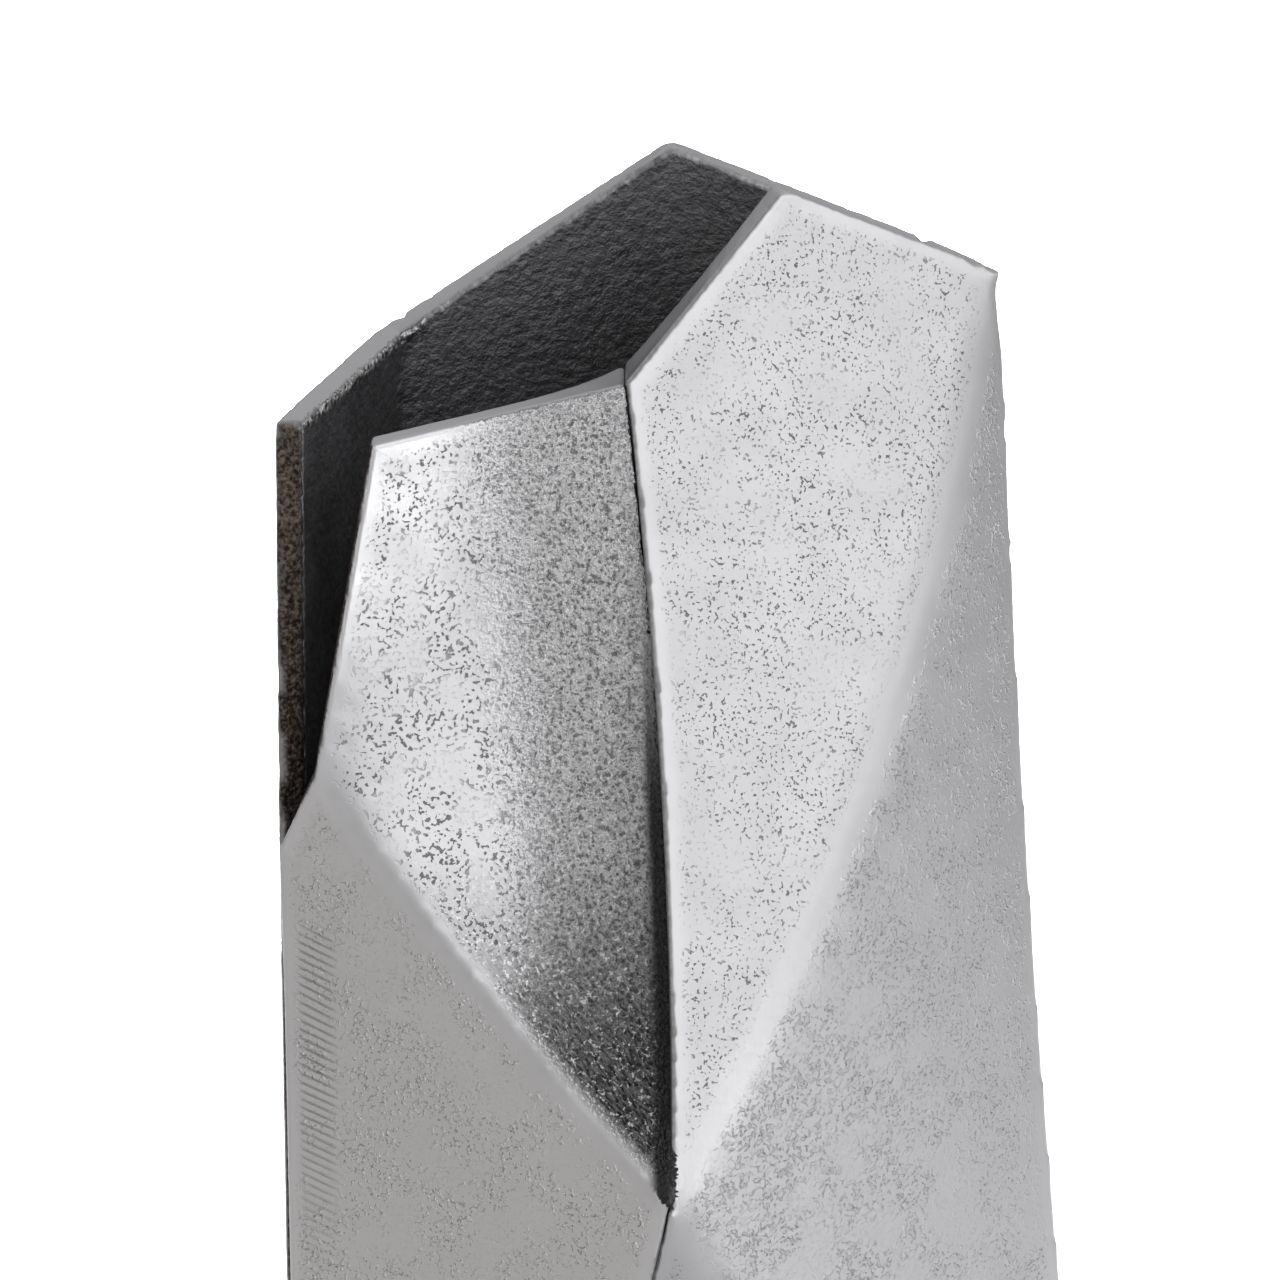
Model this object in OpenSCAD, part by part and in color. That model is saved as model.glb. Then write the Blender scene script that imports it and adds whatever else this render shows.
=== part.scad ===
// Faceted, sand-cast aluminium vase: three welded castings, a welded-in base plate and four foot pads.
// X runs to the right, Y to the back, Z up. The origin is on the resting plane, under the middle of the vase.

/* [Body] */
// Overall width, from the left seam to the right belly corner
body_w = 165; // [145:1:200]
// Overall depth, from the front star point to the back one
body_d = 118; // [100:1:142]
// Overall height, foot pads included
body_h = 384; // [340:1:460]
// Thickness of the cast walls
wall = 5.5; // [4:0.5:7]

/* [Rim] */
// Drop of the back peak below the front peak
back_peak_drop = 2; // [0:1:20]
// Drop of the front notch below the front peak
notch_drop = 35; // [20:1:50]
// Drop of the right corner below the front peak
right_drop = 22; // [15:1:45]
// Drop of the left side of the rim below the front peak
left_drop = 41; // [30:1:60]

/* [Folds] */
// Height of the front star point above the walls' lower edge
fold_h = 190; // [150:1:215]
// Distance of the front star point left of the centre line
fold_left = 3; // [-5:1:12]
// Depth of a facet that dips behind its neighbour at the crease
crease_step = 9; // [4:0.5:12]
// Dish of the two dipping facets
dish = 6; // [0:0.5:9]
// Sideways bow of the crease above the star point
crease_bow = 2.8; // [0:0.2:5]
// Outward bow of the fold from the star point to the right rim corner
ridge_bow = 10; // [0:0.5:12]

/* [Side slot] */
// Width of the slot at the rim, along X
slot_w = 20; // [12:1:26]
// Depth of the slot below the left side of the rim
slot_depth = 88; // [50:1:110]

/* [Base] */
// Thickness of the base plate
base_t = 6; // [4:0.5:10]
// Height of the plate's underside above the walls' lower edge
base_recess = 2; // [1:0.5:6]
// Gap round the plate, which the base weld bridges
base_gap = 0.8; // [0.6:0.1:1.5]
// Diameter of a foot pad
pad_d = 14; // [10:1:18]
// Height of a foot pad that shows below the walls
pad_stand = 2; // [1:0.5:4]

/* [Welds] */
// Leg of the inside weld beads
bead = 5; // [3:0.5:7]
// Height of the bead that stands on the inside of the front seam
seam_bead_t = 2.5; // [1.5:0.5:4]

/* [Hidden] */

n = 10;                        // steps along a facet's edge
k = 4;                         // steps across a side wall, and down the free edge of the left wall
turn_rows = 2;                 // steps where the front left panel's edge turns to the left seam
half_w = body_w / 2;
half_d = body_d / 2;
wall_h = body_h - pad_stand;   // height of the castings
lip = crease_step + wall;      // depth of both panels' edge faces at the crease
back = [0, 1, 0];              // the crease's edge faces run straight to the back

// ---- Outer corners, above the walls' lower edge. Seen from above they run anticlockwise round each level.

// Rim
front_left = [slot_w - half_w + 0.5, 30 - half_d, wall_h - left_drop];
notch = [-12, 50 - half_d, wall_h - notch_drop];
front_peak = [20, 69 - half_d, wall_h];
rim_right = [half_w - 18, 27, wall_h - right_drop];
rim_back_right = [half_w - 32, half_d - 13, rim_right.z + 1];
back_peak = [-3, half_d - 6, wall_h - back_peak_drop];
rim_back_left = [20 - half_w, half_d - 23, wall_h - left_drop + 4];
rim_left = [0.5 - half_w, 45 - half_d, wall_h - left_drop];

// Sides of the slot's lower end
slot_end = [-half_w, 35 - half_d, wall_h - left_drop - slot_depth];
shoulder = [8.5 - half_w, 25 - half_d, slot_end.z + 20];

// Middle
star = [-fold_left, -half_d, fold_h];
belly = [half_w, 0, 0.3 * wall_h];
back_right_mid = [half_w - 14, half_d - 20, fold_h];
back_star = [6, half_d, fold_h + 10];
back_left_mid = [10 - half_w, half_d - 21, fold_h];

// Foot
foot_left = [1 - half_w, 33 - half_d, 0];
foot_crease = [-22, 11 - half_d, 0];
foot_right = [half_w - 10.5, 37 - half_d, 0];
foot_back_right = [half_w - 26, half_d - 24, 0];
foot_back = [-4, half_d - 12, 0];
foot_back_left = [18 - half_w, half_d - 23, 0];

// ---- Wall thickness: a horizontal vector at each corner, from the outer corner to the inner one

function flat(v) = [v.x, v.y, 0];
function inward(a, b) = let(d = flat(b - a)) [-d.y, d.x, 0] / norm(d);
function mitre(a, p, b) = let(u = inward(a, p), v = inward(p, b)) wall * (u + v) / (1 + u * v);
function cut_back(a, b) = back * wall / inward(a, b).y;
function cut_right(a, b) = [wall / inward(a, b).x, 0, 0];

in_crease = lip * back;
in_front_left = cut_back(front_left, notch);
in_shoulder = cut_back(shoulder, star);
in_front_peak = mitre(notch, front_peak, rim_right);
in_right = mitre(front_peak, rim_right, rim_back_right);
in_belly = mitre(star, belly, back_right_mid);
in_foot_right = mitre(foot_crease, foot_right, foot_back_right);
in_right_seam = mitre(belly, back_right_mid, back_star);
in_back_peak = mitre(rim_back_right, back_peak, rim_back_left);
in_back_star = mitre(back_right_mid, back_star, back_left_mid);
in_foot_back = mitre(foot_back_right, foot_back, foot_back_left);
in_back_left = mitre(back_star, back_left_mid, slot_end);
in_slot_wall = cut_right(rim_back_left, rim_left);
in_left_seam = mitre(back_left_mid, slot_end, star);

// ---- Edges: a list of outer points and a list of inner points

function mix(a, b, t) = t == 0 ? a : t == 1 ? b : a + (b - a) * t;
function arched(a, b, bow, t) = mix(a, b, t) + 4 * t * (1 - t) * bow;
function line(a, b, steps, bow) = [for (i = [0:steps]) arched(a, b, bow, i / steps)];
function edge(a, in_a, b, in_b, steps = n, bow = [0, 0, 0]) =
    [line(a, b, steps, bow), line(a + in_a, b + in_b, steps, bow)];
// An edge that ends on the crease at b, where the wall thickens to the full lip.
function lipped(a, in_a, b, bow = [0, 0, 0], power = 6) = [
    line(a, b, n, bow),
    [for (i = [0:n])
        let(t = i / n, plain = mix(in_a, cut_back(a.x < b.x ? a : b, a.x < b.x ? b : a), t))
        arched(a, b, bow, t) + mix(plain, in_crease, pow(t, power))]
];
function reversed(v) = [for (i = [len(v) - 1:-1:0]) v[i]];
function turned(e) = [reversed(e[0]), reversed(e[1])];
function end_to_end(v, w) = concat(v, [for (i = [1:len(w) - 1]) w[i]]);
function joined(e, f) = [end_to_end(e[0], f[0]), end_to_end(e[1], f[1])];

// Front left panel
rim_low = lipped(front_left, in_front_left, notch);
crease_up = edge(notch, in_crease, star, in_crease, n, [crease_bow, 0, 0]);
crease_down = edge(star, in_crease, foot_crease, in_crease, n, [-6, 0, 0]);
left_fold = lipped(shoulder, in_shoulder, star, [0, 0, -3]);
slot_front = edge(front_left, in_front_left, shoulder, in_shoulder);
seam_turn = edge(shoulder, in_shoulder, slot_end, in_left_seam, turn_rows);
left_seam = edge(slot_end, in_left_seam, foot_left, in_left_seam, n - turn_rows);
foot_front_left = lipped(foot_left, in_left_seam, foot_crease);

// Front right panel
rim_rise = turned(lipped(front_peak, in_front_peak, notch, [0, 0, 0], 1.5));
rim_fall = edge(front_peak, in_front_peak, rim_right, in_right);
right_fold = turned(lipped(rim_right, in_right, star, [ridge_bow, -ridge_bow / 4, 0]));
low_middle = mix(foot_right, star, 0.5);
low_fold_up = turned(lipped(low_middle, in_foot_right, star));
low_fold_down = edge(low_middle, in_foot_right, foot_right, in_foot_right);
right_edge = edge(rim_right, in_right, belly, in_belly, 2 * n, [-2, 0, 0]);
belly_edge = edge(belly, in_belly, foot_right, in_foot_right);
foot_front_right = turned(lipped(foot_right, in_foot_right, foot_crease));
rim_side = edge(rim_right, in_right, rim_back_right, in_right_seam, k);
belly_side = edge(belly, in_belly, back_right_mid, in_right_seam, k);
foot_side = edge(foot_right, in_foot_right, foot_back_right, in_right_seam, k);
right_seam_up = edge(rim_back_right, in_right_seam, back_right_mid, in_right_seam, 2 * n);
right_seam_down = edge(back_right_mid, in_right_seam, foot_back_right, in_right_seam);

// Back panel
rim_back_rise = edge(rim_back_right, in_right_seam, back_peak, in_back_peak);
rim_back_fall = edge(back_peak, in_back_peak, rim_back_left, in_back_left);
rim_left_side = edge(rim_back_left, in_back_left, rim_left, in_slot_wall, k);
back_seam_up = edge(rim_back_right, in_right_seam, back_right_mid, in_right_seam);
back_ridge_up = edge(back_peak, in_back_peak, back_star, in_back_star);
back_ridge_down = edge(back_star, in_back_star, foot_back, in_foot_back);
back_fold_right = edge(back_right_mid, in_right_seam, back_star, in_back_star);
back_fold_left = edge(back_star, in_back_star, back_left_mid, in_back_left);
back_left_up = edge(rim_back_left, in_back_left, back_left_mid, in_back_left);
back_left_down = edge(back_left_mid, in_back_left, foot_back_left, in_back_left);
slot_wall = edge(rim_left, in_slot_wall, slot_end, in_left_seam, k);
left_seam_back = edge(slot_end, in_left_seam, foot_left, in_left_seam, 2 * n - k);
foot_back_rise = edge(foot_back_right, in_right_seam, foot_back, in_foot_back);
foot_back_fall = edge(foot_back, in_foot_back, foot_back_left, in_back_left);
foot_left_side = edge(foot_back_left, in_back_left, foot_left, in_left_seam, k);

// ---- Facets: four edges [top, bottom, left, right], as seen from outside the vase

low_facet = [left_fold, foot_front_left, joined(seam_turn, left_seam), crease_down];
dipping_high = [rim_low, left_fold, slot_front, crease_up];
peak_facet = [rim_rise, right_fold, crease_up, rim_fall];
flank_facet = [right_fold, turned(belly_edge), joined(low_fold_up, low_fold_down), right_edge];
dipping_low = [low_fold_up, foot_front_right, crease_down, low_fold_down];
side_high = [rim_side, belly_side, right_edge, right_seam_up];
side_low = [belly_side, foot_side, belly_edge, right_seam_down];
back_high_right = [rim_back_rise, back_fold_right, back_seam_up, back_ridge_up];
back_high_left = [rim_back_fall, back_fold_left, back_ridge_up, back_left_up];
back_low_right = [back_fold_right, foot_back_rise, right_seam_down, back_ridge_down];
back_low_left = [back_fold_left, foot_back_fall, back_ridge_down, back_left_down];
left_side = [
    rim_left_side, foot_left_side, joined(back_left_up, back_left_down), joined(slot_wall, left_seam_back)
];

// A grid of points over a facet: a Coons patch between its edges' outer (side 0) or inner (side 1) points.
function grid(facet, side) =
    let(top = facet[0][side], bottom = facet[1][side], left = facet[2][side], right = facet[3][side],
        rows = len(left) - 1, cols = len(top) - 1)
    [for (j = [0:rows]) [for (i = [0:cols])
        j == 0 ? top[i] : j == rows ? bottom[i] : i == 0 ? left[j] : i == cols ? right[j] :
        let(u = i / cols, v = j / rows)
        mix(top[i], bottom[i], v) + mix(left[j], right[j], u)
        - mix(mix(top[0], top[cols], u), mix(bottom[0], bottom[cols], u), v)]];

// Depth of the dip along the crease, at share t of the way from its outer end to the star point.
function dip(t) = crease_step * sin(180 * pow(t, 1.6));
// Depth of a dipping facet where u runs to 1 on the crease and v to 1 at the star point.
function depth(u, v, side) =
    dip(v) * (u * u - side * pow(u, 8)) + dish * 16 * u * (1 - u) * v * (1 - v);
function dipped(g, side, is_low) =
    let(rows = len(g) - 1, cols = len(g[0]) - 1)
    [for (j = [0:rows]) [for (i = [0:cols])
        let(u = is_low ? 1 - i / cols : i / cols, v = is_low ? 1 - j / rows : j / rows)
        g[j][i] + back * depth(u, v, side)]];
function dipped_edge(e, is_low) =
    [[for (i = [0:n]) e[0][i] + back * dip(is_low ? 1 - i / n : i / n)], e[1]];

// ---- Solids. Every grid is listed as a viewer sees it from outside the metal.

function mirrored(g) = [for (row = g) reversed(row)];
function both_sides(facets) = [for (f = facets) each [grid(f, 0), mirrored(grid(f, 1))]];
function both_dipped(f, is_low) =
    [dipped(grid(f, 0), 0, is_low), mirrored(dipped(grid(f, 1), 1, is_low))];
// Closes a casting along edges that run clockwise round it, seen from outside the vase.
function rims(edges) = [for (e = edges) [e[1], e[0]]];

module casting(grids) {
    size = [for (g = grids) len(g) * len(g[0])];
    start = [for (g = 0, at = 0; g < len(grids); at = at + size[g], g = g + 1) at];
    translate([0, 0, pad_stand])
        polyhedron(
            [for (g = grids) for (row = g) each row],
            [for (g = [0:len(grids) - 1])
                let(cols = len(grids[g][0]))
                for (j = [0:len(grids[g]) - 2]) for (i = [0:cols - 2])
                let(a = start[g] + j * cols + i, c = a + cols)
                each [[a, a + 1, c], [a + 1, c + 1, c]]],
            convexity = 8
        );
}

// A solid through closed sections, the top one first, each anticlockwise as seen from above.
module bar(sections) {
    m = len(sections[0]);
    last = (len(sections) - 1) * m;
    translate([0, 0, pad_stand])
        polyhedron(
            [for (s = sections) each s],
            [for (j = [0:len(sections) - 2]) for (i = [0:m - 1])
                let(a = j * m + i, b = j * m + (i + 1) % m)
                each [[a, b, b + m], [a, b + m, a + m]],
             [for (i = [m - 1:-1:0]) i],
             [for (i = [0:m - 1]) last + i]],
            convexity = 8
        );
}

module front_left_panel() {
    color("silver") casting(concat(
        both_dipped(dipping_high, false),
        both_sides([low_facet]),
        rims([
            rim_low, dipped_edge(crease_up, false), crease_down, turned(foot_front_left),
            turned(joined(seam_turn, left_seam)), turned(slot_front)
        ])
    ));
}

module front_right_panel() {
    color("lightgray") casting(concat(
        both_sides([peak_facet, flank_facet, side_high, side_low]),
        both_dipped(dipping_low, true),
        rims([
            rim_rise, rim_fall, rim_side, right_seam_up, right_seam_down, turned(foot_side),
            turned(foot_front_right), turned(dipped_edge(crease_down, true)), turned(crease_up)
        ])
    ));
}

module back_panel() {
    color("darkgray") casting(concat(
        both_sides([back_high_right, back_high_left, back_low_right, back_low_left, left_side]),
        rims([
            rim_back_rise, rim_back_fall, rim_left_side, slot_wall, left_seam_back, turned(foot_left_side),
            turned(foot_back_fall), turned(foot_back_rise), turned(right_seam_down), turned(back_seam_up)
        ])
    ));
}

// ---- Base plate and welds

plate_top = base_recess + base_t;

function at_height(below, above, z) = mix(below, above, (z - below.z) / (above.z - below.z));
// The walls' inner outline at a height within the lowest row of the facets.
function inner_outline(z) =
    [for (g = [
        grid(low_facet, 1), dipped(grid(dipping_low, 1), 1, true), grid(side_low, 1),
        grid(back_low_right, 1), grid(back_low_left, 1), grid(left_side, 1)
     ])
        let(rows = len(g) - 1)
        for (i = [0:len(g[0]) - 2]) at_height(g[rows][i], g[rows - 1][i], z)];

module inset_outline(z, inset) {
    offset(delta = -inset)
        polygon([for (p = inner_outline(z)) [p.x, p.y]]);
}

module base_plate() {
    color("gray")
        translate([0, 0, pad_stand + base_recess])
            linear_extrude(base_t) inset_outline(base_recess, base_gap);
}

module base_weld() {
    color("darkgray")
        difference() {
            bar([inner_outline(plate_top + bead), inner_outline(plate_top)]);
            translate([0, 0, pad_stand + plate_top - 1])
                linear_extrude(bead + 2) inset_outline(plate_top, bead);
        }
}

// A leg of a bead: from an inner corner p along the row of grid points towards q.
function leg(p, q) = p + bead * (q - p) / norm(q - p);
// A fillet's section between two panels that share the corner p of a row of their grids.
function fillet(left_row, right_row) =
    let(p = right_row[0])
    [p, leg(p, right_row[1]), leg(p, left_row[len(left_row) - 2])];

// Each seam's bead starts at the seam's top and ends one row above the foot, clear of the base weld.
module left_seam_weld() {
    side = grid(left_side, 1);
    front = grid(low_facet, 1);
    color("darkgray")
        bar([for (j = [turn_rows:n - 1]) fillet(side[k + 2 * (j - turn_rows)], front[j])]);
}

module right_seam_weld() {
    side = concat([for (j = [1:n]) grid(side_high, 1)[2 * j]], [for (j = [1:n - 1]) grid(side_low, 1)[j]]);
    rear = concat(
        [for (j = [1:n]) grid(back_high_right, 1)[j]], [for (j = [1:n - 1]) grid(back_low_right, 1)[j]]
    );
    color("darkgray")
        bar([for (j = [0:len(side) - 1]) fillet(side[j], rear[j])]);
}

// A bead that straddles the joint behind the crease and lies on both panels, at one row of their grids.
function straddle(left_row, right_row) =
    let(p = right_row[0])
    [p, mix(p, right_row[1], 0.6), p + back * seam_bead_t, mix(p, left_row[len(left_row) - 2], 0.6)];

module front_seam_weld() {
    high_left = dipped(grid(dipping_high, 1), 1, false);
    high_right = grid(peak_facet, 1);
    low_left = grid(low_facet, 1);
    low_right = dipped(grid(dipping_low, 1), 1, true);
    color("darkgray") bar(concat(
        [for (j = [1:n]) straddle(high_left[j], high_right[j])],
        [for (j = [1:n - 1]) straddle(low_left[j], low_right[j])]
    ));
}

// ---- Foot pads, stuck to the plate's underside

inner_foot_left = flat(foot_left + in_left_seam);
inner_foot_crease = flat(foot_crease + in_crease);
inner_foot_right = flat(foot_right + in_foot_right);
inner_foot_back_right = flat(foot_back_right + in_right_seam);
inner_foot_back = flat(foot_back + in_foot_back);
inner_foot_back_left = flat(foot_back_left + in_back_left);

function unit(v) = v / norm(v);
// A pad in an inner corner, clear of the walls that lead to the corners before and after it.
module foot_pad(before, corner, after) {
    u = unit(before - corner);
    v = unit(after - corner);
    color("dimgray")
        translate(corner + (pad_d / 2 + base_gap) * (u + v) / norm(cross(u, v)))
            cylinder(d = pad_d, h = pad_stand + base_recess, $fn = 64);
}
module foot_pad_front_left() { foot_pad(inner_foot_back_left, inner_foot_left, inner_foot_crease); }
module foot_pad_front_right() { foot_pad(inner_foot_crease, inner_foot_right, inner_foot_back_right); }
module foot_pad_back_left() { foot_pad(inner_foot_back, inner_foot_back_left, inner_foot_left); }
module foot_pad_back_right() { foot_pad(inner_foot_right, inner_foot_back_right, inner_foot_back); }

front_left_panel();
front_right_panel();
back_panel();
base_plate();
front_seam_weld();
left_seam_weld();
right_seam_weld();
base_weld();
foot_pad_front_left();
foot_pad_front_right();
foot_pad_back_left();
foot_pad_back_right();
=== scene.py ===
"""A faceted, sand-cast aluminium vase.

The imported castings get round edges, cast skin, pits and burnished borders. Every other node gets its own
material.
"""

import math

import bmesh
import bpy
import numpy as np
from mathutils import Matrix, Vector
from mathutils.bvhtree import BVHTree
from mathutils.kdtree import KDTree
from mathutils.noise import noise as noise_at

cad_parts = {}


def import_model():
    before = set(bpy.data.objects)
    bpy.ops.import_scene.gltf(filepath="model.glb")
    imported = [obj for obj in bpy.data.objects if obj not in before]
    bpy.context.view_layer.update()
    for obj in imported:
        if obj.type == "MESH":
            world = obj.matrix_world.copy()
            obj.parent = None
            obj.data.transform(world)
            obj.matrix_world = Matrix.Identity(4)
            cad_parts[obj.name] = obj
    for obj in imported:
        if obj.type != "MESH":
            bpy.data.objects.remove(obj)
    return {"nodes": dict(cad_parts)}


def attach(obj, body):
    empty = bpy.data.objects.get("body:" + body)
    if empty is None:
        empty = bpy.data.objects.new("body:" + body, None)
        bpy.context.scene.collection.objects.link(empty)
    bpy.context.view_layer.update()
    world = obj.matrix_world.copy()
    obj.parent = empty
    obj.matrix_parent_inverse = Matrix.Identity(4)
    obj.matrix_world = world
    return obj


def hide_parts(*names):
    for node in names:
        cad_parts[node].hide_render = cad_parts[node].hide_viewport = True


MM = 0.001
SLOTS = {"front_left_panel": "cast_pitted", "front_right_panel": "cast_satin", "back_panel": "cast_satin"}
WELDS = ("front_seam_weld", "left_seam_weld", "right_seam_weld", "base_weld")
PADS = ("foot_pad_front_left", "foot_pad_front_right", "foot_pad_back_left", "foot_pad_back_right")

# How the CAD mesh is read
FOLD_ANGLE = math.radians(12)       # a sharper edge parts two facets
NARROW = 16 * MM                    # a facet narrower than this is a rim land, a joint face or a slot end
FRONT = -0.3                        # a facet whose normal's Y is below this is at the front
CREASE_LEFT = -40 * MM              # the crease and the seam below it lie to the right of this
SLOT_RIGHT = -60 * MM               # the slot's faces lie to the left of this
FACINGS = {                         # the casting and the direction each named front facet faces
    "pitted": ("front_left_panel", (0.20, -0.95, 0.23)),
    "lower_left": ("front_left_panel", (-0.41, -0.91, -0.02)),
    "light": ("front_right_panel", (0.31, -0.90, 0.31)),
    "flank": ("front_right_panel", (0.68, -0.73, 0.09)),
}

# Shape of the visual castings
VOXEL = {"front_left_panel": 1.35 * MM, "front_right_panel": 1.6 * MM, "back_panel": 1.8 * MM}
FOLD_BAND = 4 * MM                  # the mesh is twice as fine this near to a convex fold
LIP_BAND = 1.8 * MM                 # and four times as fine this near to a lip or the crease
EDGE_RADIUS = 1.0 * MM              # rounding of every convex edge
RIDGE_REACH = 8 * MM                # reach of the softer rounding along a ridge between two skin facets
RIDGE_ROUNDS = 90                   # rounds of smoothing on the front's ridges
CORNER_ROUNDS = 8                   # and on the others
RIM_CORNERS = (                     # skin facets that meet at a rim corner, reach and rounds of its smoothing
    (1, 4 * MM, 4),
    (2, 3 * MM, 2),
    (3, 9 * MM, 35),
)

# Marks on the castings
BURNISH_REACH = 5 * MM              # the burnished border along a facet's edges
SAND_REACH = 34 * MM                # the dense sand beside the crease
RIDGE_CLEAR = (1 * MM, 5 * MM)      # sand and the painted shade fade out over these distances from a ridge
FILLET = 4.5 * MM                   # width of the concave fillet where the pitted facet meets the crease
FILLET_LIFT = 0.7                   # height of the fillet over its width
GRAIN_SIZE = 1.5 * MM
GRAIN_HEIGHT = 0.45 * MM
STROKES_X = (2.5, 4.5, 8, 12)       # the linishing strokes fade in and out at these millimetres from the seam
STROKES_Z = (150, 215, 236, 242)    # and at these heights in millimetres

# Stage
LAMP_HEIGHT = 0.9                   # of the softboxes over the floor, in metres
LAMP_SPREAD = math.radians(58)
FLOOR_SIZE = 8.0

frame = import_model()
for name in ("Cube", "Light", "Camera"):
    leftover = bpy.data.objects.get(name)
    if leftover and leftover.name not in frame["nodes"]:
        bpy.data.objects.remove(leftover)
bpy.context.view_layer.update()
nodes = frame["nodes"]


# ---- Small helpers


def search_tree(points):
    tree = KDTree(len(points))
    for i, p in enumerate(points):
        tree.insert(p, i)
    tree.balance()
    return tree


def distances(points, places):
    """Distance from each place to the nearest point, or a metre if there are no points."""
    tree = search_tree(points)
    return np.array([tree.find(p)[2] if points else 1.0 for p in places])


def smooth_step(values, low, high):
    t = np.clip((values - low) / (high - low), 0, 1)
    return t * t * (3 - 2 * t)


def near(values, reach, full=0.4):
    """1 up to a share `full` of the reach, and 0 from the reach on."""
    return 1 - smooth_step(values, full * reach, reach)


def coordinates(mesh):
    flat = np.zeros(len(mesh.vertices) * 3)
    mesh.vertices.foreach_get("co", flat)
    return flat.reshape(-1, 3)


def normals(mesh):
    flat = np.zeros(len(mesh.vertices) * 3)
    mesh.vertices.foreach_get("normal", flat)
    return flat.reshape(-1, 3)


def move_to(mesh, places):
    mesh.vertices.foreach_set("co", places.ravel())
    mesh.update()


def edge_ends(mesh):
    """The two vertex numbers of every edge."""
    ends = np.zeros(len(mesh.edges) * 2, np.int64)
    mesh.edges.foreach_get("vertices", ends)
    return ends.reshape(-1, 2).T


def neighbour_mean(ends, values, degree):
    """The mean of each vertex's neighbours."""
    a, b = ends
    total = np.bincount(a, values[b], len(values)) + np.bincount(b, values[a], len(values))
    return total / np.maximum(degree, 1)


def degrees(ends, count):
    return np.bincount(ends[0], minlength=count) + np.bincount(ends[1], minlength=count)


def spread_over(mesh, values, rounds=2):
    """Softens a value over neighbouring vertices."""
    ends = edge_ends(mesh)
    degree = degrees(ends, len(values))
    for _ in range(rounds):
        values = 0.5 * values + 0.5 * neighbour_mean(ends, values, degree)
    return values


def smoothed(mesh, share, rounds):
    """Smooths the mesh where share is 1 and leaves it where share is 0."""
    ends = edge_ends(mesh)
    co = coordinates(mesh)
    degree = degrees(ends, len(co))
    for _ in range(rounds):
        for axis in range(3):
            value = co[:, axis]
            co[:, axis] = value + 0.5 * share * (neighbour_mean(ends, value, degree) - value)
    move_to(mesh, co)


# ---- The castings' facets, as the CAD mesh has them


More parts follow.
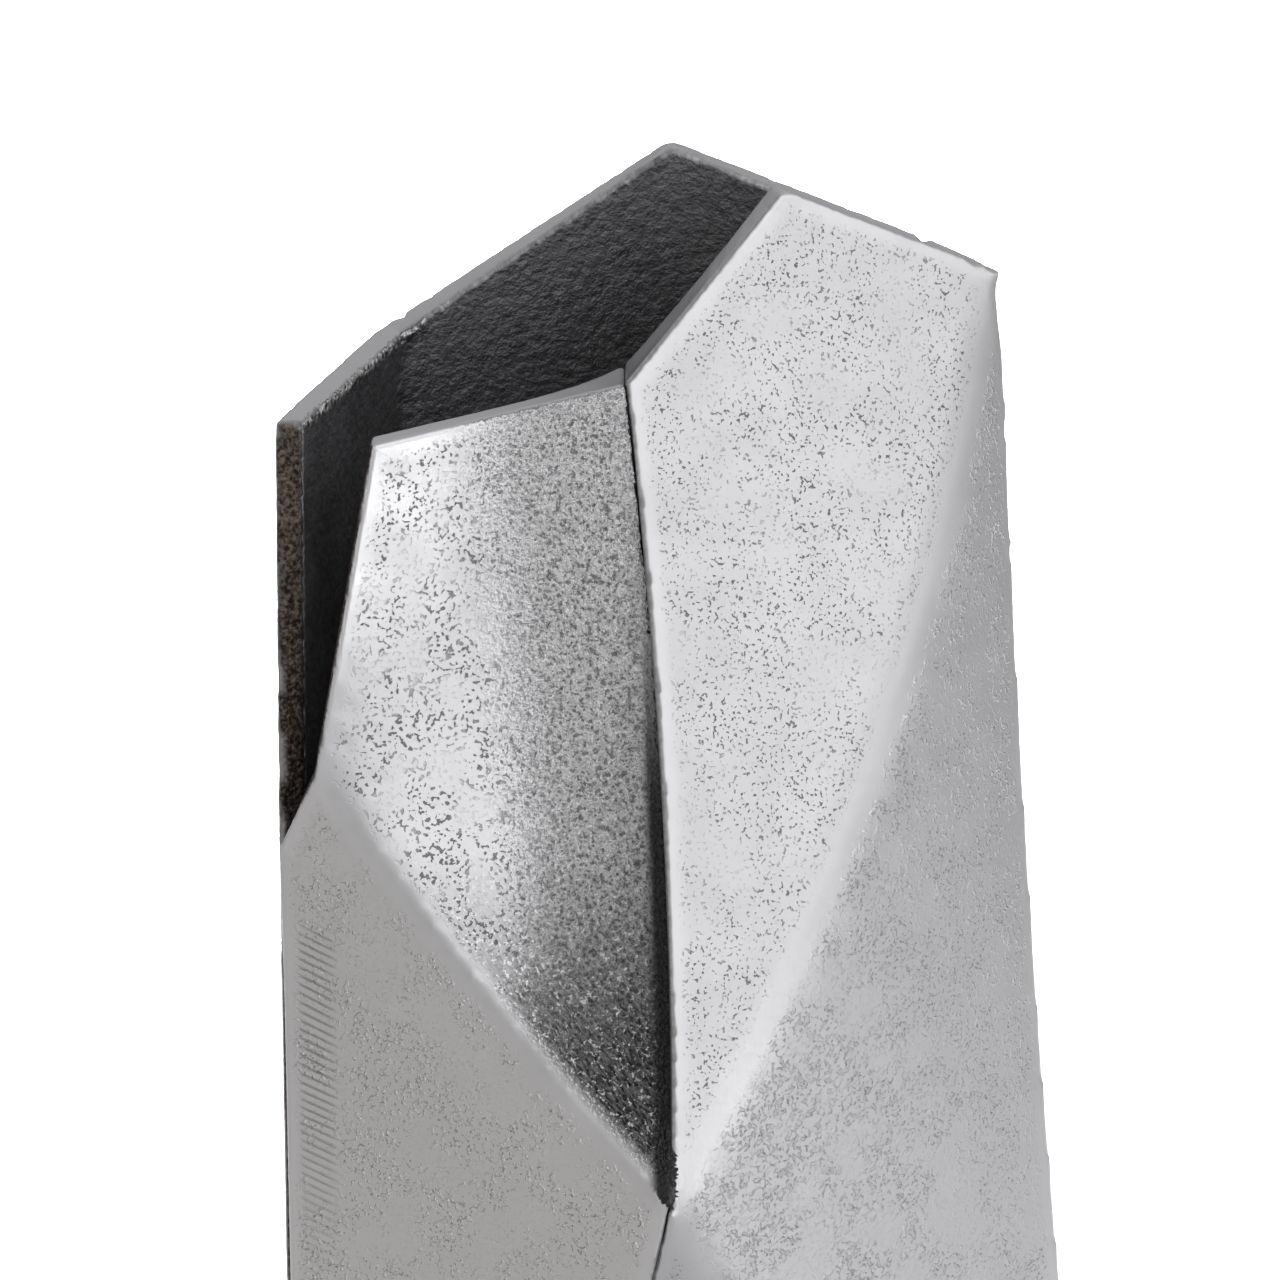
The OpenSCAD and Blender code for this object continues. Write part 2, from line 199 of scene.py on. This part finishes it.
class Casting:
    """The CAD mesh of one casting, split along its folds into numbered facets of known kinds."""

    def __init__(self, name):
        self.name = name
        self.bm = bmesh.new()
        self.bm.from_mesh(nodes[name].data)
        bmesh.ops.remove_doubles(self.bm, verts=self.bm.verts, dist=1e-6)
        self.bm.normal_update()
        self.bm.faces.ensure_lookup_table()
        self.tree = BVHTree.FromBMesh(self.bm)
        self.number, count = self.split()
        self.normal, centre, width = self.describe(count)
        self.kinds = self.sort(centre, width)
        skins = self.kinds == "skin"
        front = self.normal[:, 1] < FRONT
        self.ridges = self.fold_points(lambda a, b: skins[a] and skins[b] and front[a] and front[b])
        self.corners = self.fold_points(lambda a, b: skins[a] and skins[b] and not (front[a] and front[b]))

    def split(self):
        """A facet number for each face, and the count of facets."""
        number = [-1] * len(self.bm.faces)
        count = 0
        for seed in self.bm.faces:
            if number[seed.index] >= 0:
                continue
            number[seed.index] = count
            todo = [seed]
            while todo:
                for edge in todo.pop().edges:
                    if len(edge.link_faces) != 2 or edge.calc_face_angle() > FOLD_ANGLE:
                        continue
                    for other in edge.link_faces:
                        if number[other.index] < 0:
                            number[other.index] = count
                            todo.append(other)
            count += 1
        return np.array(number), count

    def describe(self, count):
        """Mean normal, centre and width of each facet."""
        area = np.zeros(count)
        normal = np.zeros((count, 3))
        centre = np.zeros((count, 3))
        border = np.zeros(count)
        for face in self.bm.faces:
            face_area, k = face.calc_area(), self.number[face.index]
            area[k] += face_area
            normal[k] += face_area * np.array(face.normal)
            centre[k] += face_area * np.array(face.calc_center_median())
        for edge in self.bm.edges:
            a, b = self.sides(edge)
            if a != b:
                border[a] += edge.calc_length()
                border[b] += edge.calc_length()
        normal /= np.linalg.norm(normal, axis=1, keepdims=True)
        return normal, centre / area[:, None], 2 * area / border

    def sort(self, centre, width):
        """The kind of each facet: skin, inside, a level rim land, the slot's raw end or a seam's face."""
        normal = self.normal
        faces_out = (normal[:, :2] * centre[:, :2]).sum(1) > 0
        at_slot = (centre[:, 0] < SLOT_RIGHT) & (normal[:, 1] < 0.5)
        upright = np.where(at_slot, "raw", "seam")
        narrow = np.where(abs(normal[:, 2]) > 0.5, "rim", upright)
        return np.where(width < NARROW, narrow, np.where(faces_out, "skin", "inside"))

    def sides(self, edge):
        return (self.number[face.index] for face in edge.link_faces)

    def facet_at(self, place):
        return self.number[self.tree.find_nearest(place)[2]]

    def facing(self, facet):
        """The number of a named facet on this casting, or -1."""
        casting, direction = FACINGS[facet]
        if casting != self.name:
            return -1
        return int(np.where(self.kinds == "skin", self.normal @ np.array(direction), -1).argmax())

    def fold_points(self, wanted, spacing=0.5 * MM):
        """Points along the edges between two facets, a and b, for which wanted(a, b) holds."""
        found = []
        for edge in self.bm.edges:
            a, b = self.sides(edge)
            if a == b or not (wanted(a, b) or wanted(b, a)):
                continue
            p, q = (v.co for v in edge.verts)
            steps = max(1, int((q - p).length / spacing))
            found += [p.lerp(q, i / steps) for i in range(steps + 1)]
        return found

    def folds_between(self, first, second):
        """Points along the folds between a facet of one of the first kinds and one of the second."""
        return self.fold_points(lambda a, b: self.kinds[a] in first and self.kinds[b] in second)

    def rim_corners(self, skins):
        """The rim's outer corners, away from the seams, where so many skin facets meet a rim land."""
        found = []
        for vert in self.bm.verts:
            met = [self.kinds[k] for k in {self.number[f.index] for f in vert.link_faces}]
            if len(met) >= 3 and met.count("skin") == skins and "rim" in met and "seam" not in met:
                found.append(vert.co.copy())
        return found

    def shrunk(self, depth):
        """A search tree of the mesh with every facet moved inwards by depth, as a plane moves."""
        corners = []
        for vert in self.bm.verts:
            planes = {self.number[f.index]: f.normal for f in vert.link_faces}
            planes = np.array([np.array(n) for n in planes.values()])
            move = np.linalg.lstsq(planes, np.full(len(planes), -depth), rcond=0.05)[0]
            corners.append(Vector(np.array(vert.co) + move))
        return BVHTree.FromPolygons(corners, [[v.index for v in f.verts] for f in self.bm.faces])


# ---- The visual castings


def remeshed(name, source, voxel):
    """A new object whose mesh is the source's as one even, dense mesh."""
    piece = bpy.data.objects.new(name, source)
    bpy.context.scene.collection.objects.link(piece)
    even = piece.modifiers.new("even", "REMESH")
    even.mode = "VOXEL"
    even.voxel_size = voxel
    even.use_smooth_shade = True
    soften = piece.modifiers.new("soften", "SMOOTH")
    soften.iterations = 2
    graph = bpy.context.evaluated_depsgraph_get()
    made = bpy.data.meshes.new_from_object(piece.evaluated_get(graph))
    piece.modifiers.clear()
    piece.data = made
    made.name = name
    return piece


def refine(mesh, where):
    """Splits the faces in four whose centre satisfies where(centre)."""
    bm = bmesh.new()
    bm.from_mesh(mesh)
    edges = {e for f in bm.faces if where(f.calc_center_median()) for e in f.edges}
    bmesh.ops.subdivide_edges(bm, edges=list(edges), cuts=1, use_grid_fill=True, smooth=0.0)
    bm.to_mesh(mesh)
    bm.free()


def round_edges(mesh, core, radius):
    """Puts every vertex at radius from the core, so that convex edges become round."""
    co = coordinates(mesh)
    for i, p in enumerate(co):
        place = Vector(p)
        nearest = core.find_nearest(place)[0]
        away = place - nearest
        co[i] = nearest + away * (radius / max(away.length, 0.1 * radius))
    move_to(mesh, co)


def relief(places, size, seed):
    """Bumpy sand: rounded grains about `size` wide, from -0.5 to 0.5."""
    shift = Vector((seed, 2 * seed, 3 * seed))
    value = []
    for p in places:
        coarse = noise_at(Vector(p) / size + shift)
        fine = noise_at(Vector(p) * 2.1 / size - shift)
        value.append(coarse + 0.5 * fine)
    return np.clip(np.array(value) * 0.5, -0.5, 0.5)


def shaped(cad):
    """The casting as a dense mesh with round edges, soft ridges and eased rim corners."""
    mesh = bpy.data.meshes.new(cad.name + "_base")
    cad.bm.to_mesh(mesh)
    piece = remeshed(cad.name + "_cast", mesh, VOXEL[cad.name])
    made = piece.data
    ends = cad.folds_between(("skin",), ("rim", "raw", "seam"))
    lips = cad.fold_points(lambda a, b: cad.kinds[a] != cad.kinds[b] and cad.kinds[a] in ("rim", "raw"))
    pitted = cad.facing("pitted")
    folds = search_tree(lips + ends + cad.corners)
    refine(made, lambda c: folds.find(c)[2] < FOLD_BAND or (pitted >= 0 and cad.facet_at(c) == pitted))
    sharpest = search_tree(lips + [p for p in ends if p.x > CREASE_LEFT and p.y < 0])
    refine(made, lambda c: sharpest.find(c)[2] < LIP_BAND)

    smoothed(made, 1.0, 4)
    round_edges(made, cad.shrunk(EDGE_RADIUS), EDGE_RADIUS)
    smoothed(made, 1.0, 1)
    places = [Vector(p) for p in coordinates(made)]
    inland = smooth_step(distances(ends, places), 0.5 * MM, 3 * MM)
    for points, rounds in ((cad.ridges, RIDGE_ROUNDS), (cad.corners, CORNER_ROUNDS)):
        smoothed(made, inland * near(distances(points, places), RIDGE_REACH, 0.3), rounds)
    for skins, reach, rounds in RIM_CORNERS:
        smoothed(made, near(distances(cad.rim_corners(skins), places), reach), rounds)
    return piece


def crease_marks(cad, mesh, places, on):
    """Lifts the fillet and the sand beside the crease, and returns the marks for its material, with painted
    shade low on the facet and in the fillet.
    """
    pitted = cad.facing("pitted")
    crease = cad.fold_points(lambda a, b: a == pitted and cad.kinds[b] == "seam")
    z = np.array([p.z for p in places])
    top, foot = max(p.z for p in crease), min(z[on])
    up = (z - foot) / (top - foot)
    from_crease = distances(crease, places)
    off_ridge = smooth_step(distances(cad.ridges, places), *RIDGE_CLEAR)
    sand = on * off_ridge * (1 - smooth_step(from_crease, 0.45 * SAND_REACH, 1.15 * SAND_REACH))
    # Painted shade: darker towards the foot of the pitted facet, clear of the ridge
    dark = on * off_ridge * (1 - smooth_step(up, 0.12, 0.48))

    deep = 1 - smooth_step(up, 0.45, 0.85)
    width = FILLET * (0.2 + 0.8 * deep)
    t = np.clip(1 - from_crease / width, 0, 1)
    lift = on * FILLET_LIFT * width * t * t
    lift += sand * (1 - smooth_step(t, 0.0, 0.4)) * GRAIN_HEIGHT * relief(places, GRAIN_SIZE, 7.0)
    move_to(mesh, coordinates(mesh) + normals(mesh) * lift[:, None])
    # strip is painted shade across the fillet, strongest low down
    return {"sand": sand, "dark": dark, "strip": on * smooth_step(t, 0.0, 0.5) * deep}


def filed_mark(cad, places, kind):
    """The hammered strip inside the back rim, on the left."""
    lip = [p for p in cad.folds_between(("inside",), ("rim",)) if p.x < -55 * MM]
    on_back = cad.name == "back_panel"
    return on_back * (kind == "inside") * (1 - smooth_step(distances(lip, places), 1.6 * MM, 3.0 * MM))


def stroke_mark(places, on):
    """Where the linishing strokes beside the left seam show."""
    co = np.array(places)
    x, z = (co[:, 0] - co[:, 0].min()) / MM, co[:, 2] / MM
    across = smooth_step(x, *STROKES_X[:2]) * (1 - smooth_step(x, *STROKES_X[2:]))
    return on * across * smooth_step(z, *STROKES_Z[:2]) * (1 - smooth_step(z, *STROKES_Z[2:]))


def marked(cad, mesh):
    """Stores where each finish of the material shows, as values on the vertices."""
    places = [Vector(p) for p in coordinates(mesh)]
    at = np.array([cad.facet_at(p) for p in places])
    kind = cad.kinds[at]
    borders = cad.folds_between(("skin",), ("skin", "rim", "raw", "seam"))
    marks = {"edge": near(distances(borders, places), BURNISH_REACH)}
    for label in ("inside", "rim", "raw", "seam"):
        marks[label] = spread_over(mesh, (kind == label).astype(float))
    for facet in FACINGS:
        marks[facet] = spread_over(mesh, (at == cad.facing(facet)).astype(float))
    none = np.zeros(len(places))
    marks.update({"sand": none, "dark": none, "strip": none})
    if cad.facing("pitted") >= 0:
        marks.update(crease_marks(cad, mesh, places, at == cad.facing("pitted")))
    marks["filed"] = filed_mark(cad, places, kind)
    marks["hatch"] = stroke_mark(places, at == cad.facing("lower_left"))
    for label, values in marks.items():
        mesh.attributes.new(label, "FLOAT", "POINT").data.foreach_set("value", values.astype(np.float32))


# ---- Materials


class Graph:
    """Short ways to add nodes to the tree of a material or of the world."""

    def __init__(self, tree):
        self.nodes = tree.nodes
        self.links = tree.links

    def put(self, socket, value):
        """Gives a socket another node's output, a colour or a number."""
        if isinstance(value, bpy.types.NodeSocket):
            self.links.new(value, socket)
        elif isinstance(value, tuple):
            socket.default_value = (*value, 1)
        else:
            socket.default_value = value

    def place(self, kind="Object"):
        return self.nodes.new("ShaderNodeTexCoord").outputs[kind]

    def attribute(self, name):
        made = self.nodes.new("ShaderNodeAttribute")
        made.attribute_name = name
        return made.outputs["Fac"]

    def noise(self, where, size, detail=2.0, rough=0.5):
        """Noise with features about `size` metres wide."""
        made = self.nodes.new("ShaderNodeTexNoise")
        made.inputs["Scale"].default_value = 0.5 / size
        made.inputs["Detail"].default_value = detail
        made.inputs["Roughness"].default_value = rough
        self.put(made.inputs["Vector"], where)
        return made.outputs["Fac"]

    def stretched(self, where, angle, along, across):
        """Coordinates for streaks in the XZ plane, `along` by `across` metres, `angle` below the X axis."""
        made = self.nodes.new("ShaderNodeMapping")
        made.vector_type = "TEXTURE"
        made.inputs["Rotation"].default_value = (0, angle, 0)
        made.inputs["Scale"].default_value = (along, across, across)
        self.put(made.inputs["Vector"], where)
        return made.outputs["Vector"]

    def ramp(self, value, low, high, to_low=0.0, to_high=1.0):
        """A smooth rise from to_low to to_high as the value goes from low to high."""
        made = self.nodes.new("ShaderNodeMapRange")
        made.interpolation_type = "SMOOTHSTEP"
        made.inputs["From Min"].default_value = low
        made.inputs["From Max"].default_value = high
        made.inputs["To Min"].default_value = to_low
        made.inputs["To Max"].default_value = to_high
        self.put(made.inputs["Value"], value)
        return made.outputs["Result"]

    def maths(self, operation, a, b=0.0):
        made = self.nodes.new("ShaderNodeMath")
        made.operation = operation
        self.put(made.inputs[0], a)
        self.put(made.inputs[1], b)
        return made.outputs[0]

    def product(self, first, *others):
        for other in others:
            first = self.maths("MULTIPLY", first, other)
        return first

    def inverse(self, value):
        return self.maths("SUBTRACT", 1.0, value)

    def mixed(self, share, a, b):
        """Colour a where share is 0 and colour b where it is 1."""
        made = self.nodes.new("ShaderNodeMix")
        made.data_type = "RGBA"
        self.put(made.inputs["Factor"], share)
        self.put(made.inputs["A"], a)
        self.put(made.inputs["B"], b)
        return made.outputs["Result"]

    def bumped(self, height, distance, below=None):
        """A bump of the given height in metres, on top of the bump below."""
        made = self.nodes.new("ShaderNodeBump")
        made.inputs["Distance"].default_value = distance
        made.inputs["Strength"].default_value = 1.0
        self.put(made.inputs["Height"], height)
        if below:
            self.put(made.inputs["Normal"], below)
        return made.outputs["Normal"]


def material(name):
    made = bpy.data.materials.new(name)
    made.use_nodes = True
    return made, Graph(made.node_tree), made.node_tree.nodes["Principled BSDF"].inputs


MARKS = (
    "inside", "rim", "raw", "seam", "edge", "pitted", "lower_left", "light", "flank", "sand", "dark", "strip",
    "hatch", "filed",
)
SKIN = (0.78, 0.78, 0.79)
# Painted light: the pitted facet's skin is a lighter copy of the same metal, so that the facet shows bright
PITTED_FACET_LIT_SKIN = (0.88, 0.88, 0.89)
# Painted light: the lower left facet's skin is a warmer, lighter copy of the same metal, a painted warm
# reflection
LOWER_LEFT_WARM_LIT_SKIN = (0.82, 0.80, 0.785)
# Painted shade: the pits are darkened in colour
PIT_SHADE = (0.30, 0.30, 0.31)
# Sand grains in two tones: painted shade on the dark grains and painted highlight on the light ones
SAND_LIT_AND_SHADED = ((0.32, 0.32, 0.325), (1.0, 1.0, 1.0))
# Painted shade low on the pitted facet beside the crease, streaked
STREAKED_VALLEY_SHADE = ((0.05, 0.048, 0.048), (0.30, 0.29, 0.29))
# Painted glint: white specks in the painted shade low on the pitted facet
PAINTED_GLINT = (1.0, 1.0, 1.0)
BURNISHED = (0.92, 0.92, 0.93)
STROKE = (0.42, 0.41, 0.40)
# Painted shade in the concave fillet along the crease, streaked
FILLET_SHADE = ((0.03, 0.03, 0.032), (0.12, 0.12, 0.125))
# The hollow's raw cast skin, darkened beyond it as painted shade
HOLLOW_SKIN_AND_SHADE = ((0.12, 0.12, 0.128), (0.40, 0.40, 0.415))
HAMMERED = ((0.20, 0.20, 0.20), (1.0, 1.0, 1.0))
RIM_LAND = (0.72, 0.72, 0.73)
SEAM_FACE = (0.30, 0.29, 0.29)
BARK = ((0.035, 0.027, 0.022), (0.24, 0.195, 0.165))


def pits_of(g, where, at, open_skin, outer):
    """Fine pits on the skin and coarser ones on the pitted facet, both in clusters; and the clusters."""
    clusters = g.ramp(g.noise(where, 5 * MM, 3), 0.38, 0.60, 0.15, 1.0)
    fine = g.ramp(g.noise(where, 0.34 * MM, 1), 0.62, 0.70)
    fine_share = g.maths("ADD", g.product(at["light"], 0.4), 0.6)
    fine = g.product(fine, clusters, open_skin, outer, fine_share, g.inverse(at["pitted"]))
    coarse = g.ramp(g.noise(where, 0.42 * MM, 1), 0.58, 0.64)
    patches = g.ramp(g.noise(where, 4 * MM, 3), 0.40, 0.58, 0.1, 1.0)
    coarse = g.product(coarse, patches, open_skin, at["pitted"])
    return g.maths("MAXIMUM", fine, coarse), clusters


def strokes_of(g, where, at):
    """Short parallel linishing strokes, 1.8 mm apart, that slope down to the right."""
    lines = g.nodes.new("ShaderNodeSeparateXYZ")
    g.put(lines.inputs[0], g.stretched(where, math.radians(17), 9 * MM, 1.8 * MM))
    phase = g.maths("ADD", lines.outputs["Z"], g.noise(where, 12 * MM, 1))
    waves = g.maths("SINE", g.product(phase, 2 * math.pi))
    return g.product(g.ramp(waves, 0.45, 0.95), at["hatch"])


def skin_colour(g, at, pits, grains, streaks, strokes):
    """The colour of the outer skin: clean metal, painted light on two facets, pits with painted shade, sand
    with painted highlights and shade, burnished borders, strokes, streaked painted shade with painted glints
    low by the crease, and painted shade in the crease fillet.
    """
    # Painted light: the pitted and the lower left facets take lighter copies of the skin colour
    skin = g.mixed(at["pitted"], SKIN, PITTED_FACET_LIT_SKIN)
    skin = g.mixed(at["lower_left"], skin, LOWER_LEFT_WARM_LIT_SKIN)
    # Painted shade in the pits
    skin = g.mixed(pits, skin, PIT_SHADE)
    # The sand beside the crease, with painted highlights and painted shade on its grains
    skin = g.mixed(g.product(at["sand"], 0.85), skin, g.mixed(g.ramp(grains, 0.38, 0.48), *SAND_LIT_AND_SHADED))
    skin = g.mixed(g.product(at["edge"], 0.35), skin, BURNISHED)
    skin = g.mixed(g.product(strokes, 0.7), skin, STROKE)
    streaked_shade = g.mixed(g.ramp(streaks, 0.35, 0.65), *STREAKED_VALLEY_SHADE)
    # Painted shade low on the pitted facet by the crease, with painted glints
    skin = g.mixed(at["dark"], skin, g.mixed(g.ramp(grains, 0.58, 0.64), streaked_shade, PAINTED_GLINT))
    # Painted shade across the crease fillet
    return g.mixed(at["strip"], skin, g.mixed(streaks, *FILLET_SHADE))


def other_colour(g, where, at, skin):
    """Adds the hollow's raw skin with painted shade, the hammered strip, the rim lands, the seams' faces and
    the raw slot end.
    """
    colour = g.mixed(at["inside"], skin, g.mixed(g.noise(where, 1.0 * MM, 4, 0.65), *HOLLOW_SKIN_AND_SHADE))
    colour = g.mixed(at["filed"], colour, g.mixed(g.ramp(g.noise(where, 0.6 * MM, 2), 0.4, 0.6), *HAMMERED))
    colour = g.mixed(at["rim"], colour, RIM_LAND)
    colour = g.mixed(at["seam"], colour, SEAM_FACE)
    bark = g.ramp(g.noise(where, 0.45 * MM, 3, 0.6), 0.35, 0.68)
    return g.mixed(at["raw"], colour, g.mixed(bark, *BARK))


def cast_aluminium():
    """Satin cast skin with pits, burnished borders and ground lands, a dark inside partly painted shade and a
    brown slot end; the front facets carry painted light and painted shade.
    """
    made, g, shader = material("cast_aluminium")
    where = g.place()
    at = {name: g.attribute(name) for name in MARKS}
    open_skin = g.inverse(at["edge"])
    rough_skin = g.maths("MAXIMUM", at["inside"], at["raw"])
    outer = g.inverse(g.maths("MAXIMUM", rough_skin, at["rim"]))
    pits, clusters = pits_of(g, where, at, open_skin, outer)
    strokes = strokes_of(g, where, at)
    grains = g.noise(where, 0.45 * MM, 2, 0.6)
    streaks = g.noise(g.stretched(where, math.radians(58), 9 * MM, 0.5 * MM), 0.5, 2)
    skin = skin_colour(g, at, pits, grains, streaks, strokes)
    g.put(shader["Base Color"], other_colour(g, where, at, skin))

    rough = g.ramp(g.noise(where, 6 * MM, 4), 0.3, 0.7, 0.36, 0.46)
    rough = g.maths("ADD", rough, g.product(pits, 0.2))
    rough = g.maths("ADD", rough, g.product(rough_skin, 0.2))
    rough = g.maths("SUBTRACT", rough, g.product(at["edge"], 0.06))
    g.put(shader["Roughness"], rough)
    shader["Metallic"].default_value = 1.0

    # The streaks' bump goes where the painted crease shade is
    streaked_shade = g.maths("MAXIMUM", at["dark"], at["strip"])
    specks = g.ramp(g.noise(where, 0.6 * MM, 2), 0.53, 0.66)
    speck_share = g.maths("ADD", at["flank"], g.product(at["lower_left"], 0.7))
    bump = g.bumped(g.inverse(pits), 0.32 * MM)
    for height, distance in (
        (g.product(grains, at["sand"]), 1.8 * MM),
        (g.product(g.noise(where, 0.7 * MM, 1), at["filed"]), 1.2 * MM),
        (g.product(g.noise(where, 1.1 * MM, 3, 0.65), rough_skin), 0.9 * MM),
        (g.product(streaks, streaked_shade), 0.25 * MM),
        (g.inverse(strokes), 0.7 * MM),
        (g.product(specks, clusters, speck_share, open_skin), 0.32 * MM),
        (g.product(g.noise(where, 2.2 * MM, 3, 0.6), outer, open_skin), 0.05 * MM),
    ):
        bump = g.bumped(height, distance, bump)
    g.put(shader["Normal"], bump)
    return made


def plain_metal(name, colour, rough):
    """Metal with cloudy colour, uneven gloss and a rippled surface."""
    made, g, shader = material(name)
    where = g.place()
    shade = g.mixed(g.noise(where, 4 * MM, 3), tuple(0.8 * c for c in colour), colour)
    g.put(shader["Base Color"], shade)
    g.put(shader["Roughness"], g.ramp(g.noise(where, 1.5 * MM, 3), 0.3, 0.7, rough - 0.06, rough + 0.08))
    g.put(shader["Normal"], g.bumped(g.noise(where, 1.2 * MM, 3), 0.4 * MM))
    shader["Metallic"].default_value = 1.0
    return made


def pad_rubber():
    made, g, shader = material("pad_rubber")
    where = g.place()
    g.put(shader["Base Color"], g.mixed(g.noise(where, 2 * MM, 3), (0.02, 0.02, 0.02), (0.045, 0.045, 0.045)))
    g.put(shader["Normal"], g.bumped(g.noise(where, 0.6 * MM, 2), 0.15 * MM))
    shader["Roughness"].default_value = 0.75
    return made


# ---- The pieces


casting_finish = cast_aluminium()
for name, slot in SLOTS.items():
    cad = Casting(name)
    piece = shaped(cad)
    marked(cad, piece.data)
    cad.bm.free()
    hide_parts(name)
    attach(piece, "root")
    piece.data.materials.clear()
    piece.data.materials.append(casting_finish)

nodes["base_plate"].data.materials[0] = plain_metal("plate_cast_skin", (0.22, 0.22, 0.225), 0.6)
weld_finish = plain_metal("weld_bead", (0.5, 0.5, 0.51), 0.42)
for name in WELDS:
    nodes[name].data.materials[0] = weld_finish
rubber = pad_rubber()
for name in PADS:
    nodes[name].data.materials[0] = rubber


# ---- Stage


def floor():
    mesh = bpy.data.meshes.new("floor")
    corners = [(x * FLOOR_SIZE, y * FLOOR_SIZE, 0) for x, y in ((-1, -1), (1, -1), (1, 1), (-1, 1))]
    mesh.from_pydata(corners, [], [(0, 1, 2, 3)])
    piece = bpy.data.objects.new("floor", mesh)
    bpy.context.scene.collection.objects.link(piece)
    made, _, shader = material("floor_pale")
    shader["Base Color"].default_value = (0.75, 0.75, 0.75, 1)
    shader["Roughness"].default_value = 0.8
    shader["Specular IOR Level"].default_value = 0.2
    mesh.materials.append(made)


def floor_lamp(name, place, size, power):
    """A softbox over the floor: it lights the floor that the metal mirrors, and isn't mirrored itself."""
    data = bpy.data.lights.new(name, "AREA")
    data.shape = "RECTANGLE"
    data.size, data.size_y = size
    data.energy = power
    data.spread = LAMP_SPREAD
    made = bpy.data.objects.new(name, data)
    made.location = (*place, LAMP_HEIGHT)
    made.visible_glossy = False
    bpy.context.scene.collection.objects.link(made)


def world(base, lobes):
    """A soft studio dome: an even base and, for each lobe, a wide soft patch of light in one direction.

    A lobe has its direction, the angles from it where it starts to fade and is gone, and its colour.
    """
    made = bpy.data.worlds.new("studio")
    bpy.context.scene.world = made
    made.use_nodes = True
    g = Graph(made.node_tree)
    where = g.place("Generated")
    light = base
    for direction, full, gone, colour in lobes:
        dot = g.nodes.new("ShaderNodeVectorMath")
        dot.operation = "DOT_PRODUCT"
        g.put(dot.inputs[0], where)
        dot.inputs[1].default_value = Vector(direction).normalized()
        share = g.ramp(dot.outputs["Value"], math.cos(math.radians(gone)), math.cos(math.radians(full)))
        light = g.mixed(share, light, colour)
    background = g.nodes["Background"].inputs
    g.put(background["Color"], light)
    background["Strength"].default_value = 1.0


def camera(target, elevation, distance, width):
    """A long lens that sees `width` metres at the target."""
    data = bpy.data.cameras.new("camera")
    data.sensor_width = 36
    data.lens = 36 * distance / width
    made = bpy.data.objects.new("camera", data)
    towards = Vector((0, math.cos(elevation), -math.sin(elevation)))
    made.location = Vector(target) - towards * distance
    made.rotation_euler = towards.to_track_quat("-Z", "Y").to_euler()
    bpy.context.scene.collection.objects.link(made)
    bpy.context.scene.camera = made


floor()
world((0.22, 0.22, 0.22), (
    ((0.0, 0.6, 0.8), 20, 60, (0.46, 0.46, 0.47)),
    ((-0.7, -0.6, -0.1), 20, 60, (0.34, 0.325, 0.315)),
    ((0.98, -0.15, -0.1), 15, 55, (0.49, 0.49, 0.49)),
    ((0.50, -0.74, 0.45), 18, 60, (1.0, 1.0, 1.02)),
))
floor_lamp("backdrop", (0, 0.95), (0.5, 1.3), 13)
floor_lamp("front_floor", (0.75, -0.85), (0.5, 0.5), 4.5)
floor_lamp("side_floor", (0.6, -0.1), (0.4, 0.4), 0.5)
floor_lamp("left_floor", (-0.25, -0.3), (0.4, 0.4), 0.15)
camera((-9 * MM, -20 * MM, 299 * MM), math.radians(20), 1.5, 256 * MM)
bpy.context.scene.view_settings.view_transform = "Standard"
